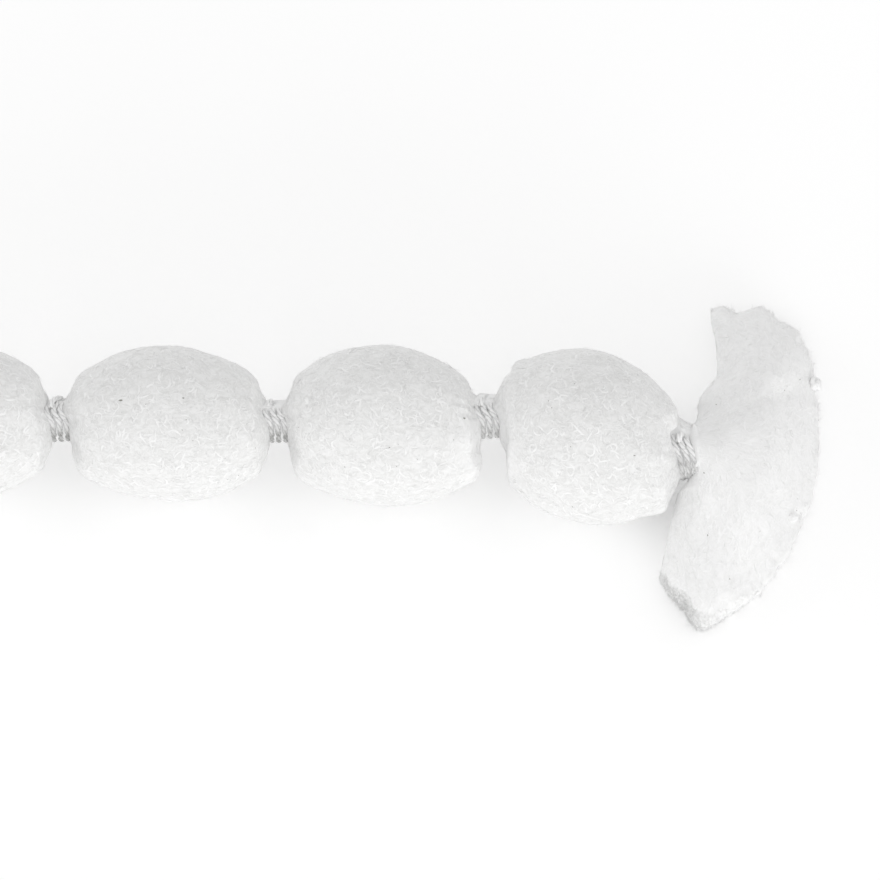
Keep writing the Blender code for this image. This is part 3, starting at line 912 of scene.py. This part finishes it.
def add_cut_ends(name, skin, material, rng, count):
    """The cut ends of the fibre, which stick out of the fan's rim."""
    steps = 5
    weight = (0.15 * skin.cut + skin.bare) ** 2
    rows, columns = trace(skin, rng, count, 0.5, curl=0.3, length=(0.05, 0.3), steps=steps, weight=weight)
    path, normals = skin.lie(rows, columns)
    out = path - TIE_POINTS[-1]
    out[..., 2] *= 0.3
    lean = unit(unit(out) + normals * 0.5 + rng.normal(0.0, 0.35, (count, 1, 3)))
    bend = rng.normal(0.0, 0.5, (count, 1, 3)) * np.linspace(0.0, 1.0, steps)[None, :, None] ** 2
    reach = (0.2 + 0.6 * rng.random(count) ** 3)[:, None, None]
    path = path + (lean + bend) * np.linspace(-0.15, 1.0, steps)[None, :, None] * reach
    sections = hairs(path, normals, rng.uniform(*CUT_END_RADII, count))
    fibre_piece(name, sections, skin, rows, columns, material, rng, closed=True)


# Ties


def thread_line(index, steps):
    """How far along and off the rope the middle of a tie's thread lies, and its degrees round it."""
    turns = np.linspace(0.0, CROSSING_END, steps)
    last_wrap = WRAP_TURNS / 2 * WRAP_PITCH
    degrees = WRAP_START + TIE_SHAPES[index][0] - 360.0 * turns
    wrapping = fade(WRAP_TURNS, CLIMB_END, turns)
    along = np.minimum(turns, WRAP_TURNS) * WRAP_PITCH - last_wrap + wraps_bend(index, degrees) * wrapping
    crossed = smoothstep(CLIMB_END, CROSSING_END, turns)
    along = along + (CROSSING_LAST_ALONG - last_wrap) * crossed
    lifted = 1.0 - wrapping
    if SWELL_OVER[index][0] > CROSSING_HIDDEN:
        lifted = lifted * smoothstep(*CROSSING_EMERGES, turns)
    radius = THREAD_GRIP_RADIUS + CROSSING_RADIUS_GAIN * lifted
    radius = radius + TIE_SHAPES[index][3] * turned_into(NEAR_SIDE, degrees)
    end_tucked = smoothstep(CROSSING_END - TUCK_TURNS, CROSSING_END, turns)
    tucked = end_tucked + 1.0 - smoothstep(0.0, TUCK_TURNS, turns)
    return along, radius - TUCK_DEPTH * tucked, degrees


def stray(how_far, over_degrees, degrees, along, seed):
    """How far a thread strays at each of its points, by noise."""
    return how_far * noise_at(np.stack((degrees, along, 0 * along + seed), axis=-1), over_degrees)


def add_tie(index, material):
    """Three wraps of twisted thread, whose end crosses back over them."""
    centre, direction = rope_frame(index, 0.0)
    sideways, upward = ring_axes(direction)
    steps = round(CROSSING_END * 2 * math.pi * THREAD_GRIP_RADIUS / PLY_STEP)
    along, radius, degrees = thread_line(index, steps)
    radius = radius + stray(*STRAY_OUTWARD, degrees, along, index)
    along = along + stray(*STRAY_ALONG, degrees, along, 5.0 + index)
    round_it = np.radians(degrees)
    out = np.outer(np.sin(round_it), upward) - np.outer(np.cos(round_it), sideways)
    line = centre + np.outer(along, direction) + out * radius[:, None]
    forward = unit(np.gradient(line, axis=0))
    across = unit(np.cross(out, forward))
    out = np.cross(forward, across)
    run = np.concatenate(([0.0], np.cumsum(np.linalg.norm(np.diff(line, axis=0), axis=1))))
    taper = np.sqrt(np.clip(np.minimum(run, run[-1] - run) / PLY_END_TAPER, 0.0, 1.0))
    # Painted shade on the wraps' undersides.
    beneath = UNDERSIDE_SHADES[index] * turned_into(UNDERSIDE_ANGLES, degrees)
    turn = 2 * math.pi * np.arange(PLY_SIDES) / PLY_SIDES
    ring = turned(out[:, None], across[:, None], turn)
    ply = np.arange(PLIES)[:, None]
    twist = 2 * math.pi * (run / PLY_PITCH + ply / PLIES)
    middle = line + turned(out, across, twist) * PLY_OFFSET * taper[:, None]
    points = middle[:, :, None] + ring * PLY_RADIUS * taper[:, None, None]
    from_core = np.linalg.norm(points - line[:, None], axis=-1) / (PLY_OFFSET + PLY_RADIUS)
    from_axis = np.linalg.norm(np.cross(points - centre, direction), axis=-1)
    from_neck = from_axis - (THREAD_GRIP_RADIUS - THREAD_RADIUS)
    # Painted shade in the hollows between the plies and down against the neck.
    deep = 1.0 - smoothstep(*SHADED_CORE, from_core) * smoothstep(*SHADED_NECK, from_neck)
    round_ply = turn - twist[..., None]
    place = np.stack((
        run[:, None] + 0 * round_ply,
        PLY_MAP_RADIUS * np.cos(round_ply),
        PLY_MAP_RADIUS * np.sin(round_ply) + ply[..., None] * PLY_MAPS_APART,
    ), axis=-1)
    piece = make_piece(
        f"twisted_tie_{index + 1}", points, material, closed=True,
        place=place, deep=deep, shade=beneath[:, None],
    )
    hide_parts(f"thread_tie_{index + 1}")


# Materials

MIX_INPUTS = (0, 6, 7)  # where a mix node keeps its share and its two colours
MIX_OUTPUT = 2


class Shader:
    """A node material and its shorthand."""

    def __init__(self, name, roughness, **settings):
        self.material = bpy.data.materials.new(name)
        self.material.use_nodes = True
        self.tree = self.material.node_tree
        self.surface = self.tree.nodes["Principled BSDF"]
        self.surface.inputs["Roughness"].default_value = roughness
        for socket, value in settings.items():
            self.surface.inputs[socket.replace("_", " ")].default_value = value

    def add(self, kind, inputs=(), **settings):
        node = self.tree.nodes.new("ShaderNode" + kind)
        for name, value in settings.items():
            setattr(node, name, value)
        for socket, value in dict(inputs).items():
            if isinstance(value, bpy.types.NodeSocket):
                self.tree.links.new(value, node.inputs[socket])
            else:
                node.inputs[socket].default_value = value
        return node

    def attribute(self, name, field="Fac"):
        return self.add("Attribute", attribute_name=name).outputs[field]

    def noise(self, place, scale, stretch=(1.0, 1.0, 1.0), detail=2.0, field="Fac"):
        moved = self.add("Mapping", {"Vector": place, "Scale": stretch}).outputs[0]
        return self.add("TexNoise", {"Vector": moved, "Scale": scale, "Detail": detail}).outputs[field]

    def math(self, operation, *values):
        return self.add("Math", dict(enumerate(values)), operation=operation).outputs[0]

    def ramp(self, value, low, high, start=0.0, end=1.0):
        inputs = {"Value": value, "From Min": low, "From Max": high, "To Min": start, "To Max": end}
        return self.add("MapRange", inputs, interpolation_type="SMOOTHSTEP").outputs[0]

    def mix(self, share, first, second):
        inputs = dict(zip(MIX_INPUTS, (share, first, second)))
        return self.add("Mix", inputs, data_type="RGBA").outputs[MIX_OUTPUT]

    def tint(self, colour, share, strength, toward):
        return self.mix(self.math("MULTIPLY", share, strength), colour, toward)

    def finish(self, colour, height, distance, strength):
        """Links the colour, and a bump from this height in units of distance."""
        bump = self.add("Bump", {"Height": height, "Distance": distance, "Strength": strength})
        self.tree.links.new(colour, self.surface.inputs["Base Color"])
        self.tree.links.new(bump.outputs[0], self.surface.inputs["Normal"])
        return self.material


def grey(level, warmth=0.0):
    return (level, level, level - warmth, 1.0)


def wadding_material(name, light, shade, relief, softness=0.0):
    """Soft white fibre with wavy streaks, speckled where it is cut, with painted light where it is
    gathered and painted shadow in grey dashes at its foot.
    """
    s = Shader(
        name, 0.92, Sheen_Weight=0.25, Sheen_Roughness=0.5, Specular_IOR_Level=0.25,
        Subsurface_Weight=softness, Subsurface_Scale=0.0012, Subsurface_Radius=(1.0, 1.0, 1.0),
    )
    place = s.attribute("place", "Vector")
    warp = s.noise(place, 0.55, detail=1.0, field="Color")
    offset = s.add("VectorMath", {0: warp, 1: (0.5, 0.5, 0.5)}, operation="SUBTRACT").outputs[0]
    shift = s.add("VectorMath", {0: offset, "Scale": 3.2}, operation="SCALE").outputs[0]
    wavy = s.add("VectorMath", {0: place, 1: shift}, operation="ADD").outputs[0]
    broad = s.noise(place, 0.16)
    streaks = s.noise(wavy, 1.6, stretch=(0.3, 1.0, 1.0), detail=3.0)
    fine = s.noise(wavy, 5.0, stretch=(0.25, 1.0, 1.0), detail=3.0)
    crossing = s.noise(wavy, 2.4, stretch=(1.0, 0.4, 0.7))

    colour = s.mix(s.ramp(streaks, 0.35, 0.65), shade, light)
    colour = s.tint(colour, s.ramp(crossing, 0.45, 0.7), 0.4, grey(0.96))
    colour = s.tint(colour, s.ramp(broad, 0.3, 0.7), 0.08, grey(0.80, 0.01))
    # Painted light where the skin is gathered or beside the ties listed at the top; on loose fibres, their
    # own random whiteness.
    colour = s.tint(colour, s.attribute("tone"), 0.85, grey(0.975))
    cut_speckle = s.ramp(s.noise(place, 2.8), 0.4, 0.6, 0.0, 0.42)
    colour = s.tint(colour, s.attribute("cut"), cut_speckle, grey(0.70, 0.01))
    # Painted shadow, in dashes, at the foot of the cut edge where it meets the floor.
    shadow_dashes = s.ramp(s.noise(place, 1.3), 0.45, 0.6, 0.0, 0.8)
    colour = s.tint(colour, s.attribute("foot"), shadow_dashes, grey(0.40, 0.01))

    height = s.math("ADD", s.math("MULTIPLY", streaks, 0.6), s.math("MULTIPLY", fine, 0.35))
    height = s.math("ADD", height, s.math("MULTIPLY", crossing, 0.4))
    return s.finish(colour, height, 0.00035, relief)


def speck_material():
    """Dull brownish grey bits of husk, which are left in the fibre."""
    s = Shader("wadding_speck", 0.9, Specular_IOR_Level=0.2)
    patches = s.noise(s.add("TexCoord").outputs["Object"], 900.0)
    colour = s.mix(patches, grey(0.16, 0.02), grey(0.42, 0.03))
    return s.finish(colour, patches, 0.0001, 0.2)


def thread_material():
    """Glossy white plies with fine fibre along them, with painted shade in the hollows between them and on
    their undersides.
    """
    s = Shader(
        "thread_ply", 0.36, Sheen_Weight=0.6, Specular_IOR_Level=0.7,
        Coat_Weight=0.5, Coat_Roughness=0.22,
    )
    place = s.attribute("place", "Vector")
    strands = s.noise(place, 9.0, stretch=(0.12, 1.6, 1.6), detail=3.0)
    patches = s.noise(place, 0.9)
    colour = s.mix(s.ramp(strands, 0.35, 0.65), grey(0.95, 0.003), grey(0.99))
    colour = s.tint(colour, s.ramp(patches, 0.52, 0.62), 0.5, grey(0.62, 0.006))
    # Painted shade in the thread's hollows.
    colour = s.mix(s.ramp(s.attribute("deep"), 0.35, 0.95, 0.0, 0.7), colour, grey(0.20, 0.01))
    uneven = s.ramp(patches, 0.3, 0.7, 0.6, 1.0)
    # Painted shade on the wraps' undersides.
    colour = s.tint(colour, s.attribute("shade"), uneven, grey(0.24, 0.01))
    return s.finish(colour, strands, 0.00012, 0.6)


def floor_material():
    """A pale studio floor, softly mottled, and lit from within as a light table is."""
    s = Shader("studio_floor", 0.8, Emission_Strength=FLOOR_GLOW, Specular_IOR_Level=0.1)
    s.surface.inputs["Emission Color"].default_value = grey(1.0)
    place = s.add("TexCoord").outputs["Object"]
    mottle = s.noise(place, 9.0, detail=3.0)
    colour = s.mix(mottle, grey(0.90), grey(0.92))
    return s.finish(colour, mottle, 0.0001, 0.1)


# Stage


def add_floor():
    mesh = bpy.data.meshes.new("studio_floor")
    size = FLOOR_HALF_SIZE
    corners = [(-size, -size, 0.0), (size, -size, 0.0), (size, size, 0.0), (-size, size, 0.0)]
    mesh.from_pydata(corners, [], [(0, 1, 2, 3)])
    mesh.materials.append(floor_material())
    floor = add_object("studio_floor", mesh)
    floor.location.z = -FLOOR_DROP


def add_light(name, place, size, power):
    data = bpy.data.lights.new(name, "AREA")
    data.shape = "RECTANGLE"
    data.size, data.size_y = size
    data.energy = power
    light = add_object(name, data)
    light.location = place
    light.rotation_euler = (Vector(LIGHTS_AIM) - Vector(place)).to_track_quat("-Z", "Y").to_euler()
    light.visible_camera = False


def add_world():
    """Even light from all round, behind a backdrop as pale as the floor."""
    world = bpy.data.worlds.new("studio")
    world.use_nodes = True
    tree = world.node_tree
    background = tree.nodes["Background"]
    background.inputs["Color"].default_value = grey(1.0)
    seen = tree.nodes.new("ShaderNodeLightPath").outputs["Is Camera Ray"]
    strength = tree.nodes.new("ShaderNodeMapRange")
    strength.inputs["To Min"].default_value = WORLD_LIGHT
    strength.inputs["To Max"].default_value = BACKDROP_BRIGHTNESS
    tree.links.new(seen, strength.inputs["Value"])
    tree.links.new(strength.outputs[0], background.inputs["Strength"])
    bpy.context.scene.world = world


def add_camera():
    data = bpy.data.cameras.new("camera")
    data.lens = CAMERA_LENS
    data.sensor_width = SENSOR_WIDTH
    distance = FRAME_WIDTH / 2 / (SENSOR_WIDTH / 2 / CAMERA_LENS)
    back = Vector((0.0, -math.cos(CAMERA_ELEVATION), math.sin(CAMERA_ELEVATION)))
    camera = add_object("camera", data)
    camera.location = (Vector(CAMERA_AIM) + back * distance) * MM
    camera.rotation_euler = (-back).to_track_quat("-Z", "Y").to_euler()
    data.clip_start, data.clip_end = 0.01, 20.0
    bpy.context.scene.camera = camera


def set_stage():
    add_floor()
    add_world()
    for light in LIGHTS:
        add_light(*light)
    add_camera()
    bpy.context.scene.view_settings.view_transform = "Standard"


# The scene

set_stage()
rng = np.random.default_rng(SEED)
fibre = wadding_material("wadding_fibre", grey(0.85, 0.004), grey(0.76, 0.008), relief=0.45, softness=0.25)
strand = wadding_material("wadding_strand", grey(0.88, 0.004), grey(0.75, 0.008), relief=0.15)
# Painted light: the fan's fibre, and the loose fibres on it, are paler copies of the pompoms' materials,
# standing in for the light on the fan.
loose_fibre_painted_light = wadding_material(
    "wadding_loose_fibre", grey(0.94, 0.003), grey(0.88, 0.005), relief=0.16, softness=0.25
)
loose_strand_painted_light = wadding_material("wadding_loose_strand", grey(0.97, 0.003), grey(0.84, 0.005), relief=0.10)
# Painted highlight: the knots at the fan's rim are pure white, paler than the fibre round them, as a
# painted glint.
knot = wadding_material("wadding_knot", grey(1.0), grey(1.0), relief=0.10)
speck = speck_material()
thread = thread_material()

rope = rope_skin()
roughen_rope(rope)
skin_piece("pompom_rope", rope, fibre)
fan = fan_skin()
roughen_fan(fan)
skin_piece("cut_fan", fan, loose_fibre_painted_light)

on_right = rope.points[..., 0].mean(axis=1)[:, None] >= TIE_POINTS[2][0]
for half, side in enumerate((~on_right, on_right), 1):
    weight = side * (1 - 0.9 * rope.deep)
    add_clumps(f"pompom_clumps_{half}", rope, strand, rng, count=4200, spread=0.9, weight=weight)
add_clumps("fan_clumps", fan, loose_strand_painted_light, rng, count=2600, spread=0.45, length=(1.6, 4.5), tallest=0.05)
add_fuzz("pompom_fuzz", rope, strand, rng, count=3000, spread=0.9, reach=0.8)
add_fuzz("fan_fuzz", fan, loose_strand_painted_light, rng, count=1000, spread=0.6, reach=1.0)
add_cut_ends("fan_cut_ends", fan, loose_strand_painted_light, rng, count=2400)
add_specks("pompom_specks", rope, speck, rng, count=70, marks=PLAIN_SPECKS)
add_specks("fan_specks", fan, speck, rng, count=30)
for number, (centre, size, loose_hairs) in enumerate(TUFTS, 1):
    add_tuft(number, centre, size, loose_hairs, knot, loose_strand_painted_light, rng)
for index in range(len(TIES)):
    add_tie(index, thread)
